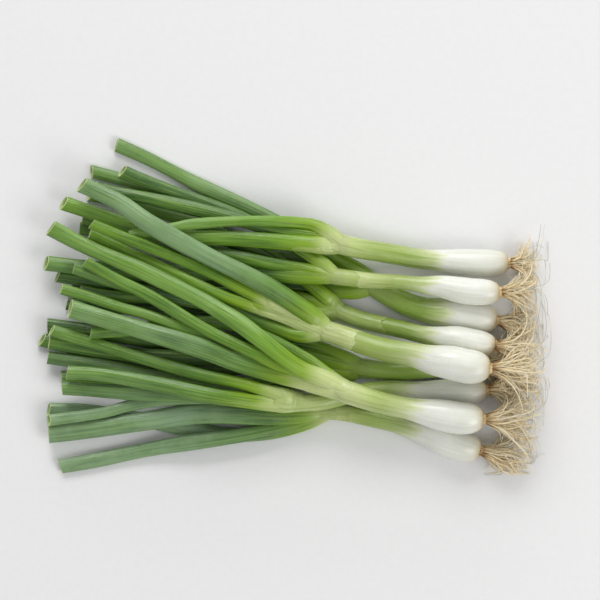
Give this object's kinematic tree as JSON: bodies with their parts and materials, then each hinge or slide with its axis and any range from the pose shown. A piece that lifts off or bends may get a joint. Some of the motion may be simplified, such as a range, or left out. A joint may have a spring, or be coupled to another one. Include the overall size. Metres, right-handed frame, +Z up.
{
  "type": "spring onion bunch",
  "caption": "Loose bunch of spring onions lying flat: white bulbs and shanks, fans of hollow green leaves cut square, and tufts of tan roots.",
  "frame": {"origin": "on the surface that the bunch lies on, under the middle of its box", "axes": "+X along the bunch from the cut leaf tips to the roots, +Y across it, +Z up from the surface"},
  "size_m": [0.3035, 0.2048, 0.0452],
  "materials": {
    "bulb_white": "smooth moist skin, faint lengthwise veins, pale green towards the leaves",
    "leaf_green": "waxy satin with fine lengthwise veins",
    "root_tan": "dry, dull, fibrous"
  },
  "bodies": {
    "root": {"onion_1_bulb": "bulb_white", "onion_1_leaves": "leaf_green", "onion_1_roots": "root_tan", "onion_2_bulb": "bulb_white", "onion_2_leaves": "leaf_green", "onion_2_roots": "root_tan", "onion_3_bulb": "bulb_white", "onion_3_leaves": "leaf_green", "onion_3_roots": "root_tan", "onion_4_bulb": "bulb_white", "onion_4_leaves": "leaf_green", "onion_4_roots": "root_tan", "onion_5_bulb": "bulb_white", "onion_5_leaves": "leaf_green", "onion_5_roots": "root_tan", "onion_6_bulb": "bulb_white", "onion_6_leaves": "leaf_green", "onion_6_roots": "root_tan", "onion_7_bulb": "bulb_white", "onion_7_leaves": "leaf_green", "onion_7_roots": "root_tan", "onion_8_bulb": "bulb_white", "onion_8_leaves": "leaf_green", "onion_8_roots": "root_tan", "onion_9_bulb": "bulb_white", "onion_9_leaves": "leaf_green", "onion_9_roots": "root_tan"}
  },
  "joints": []
}
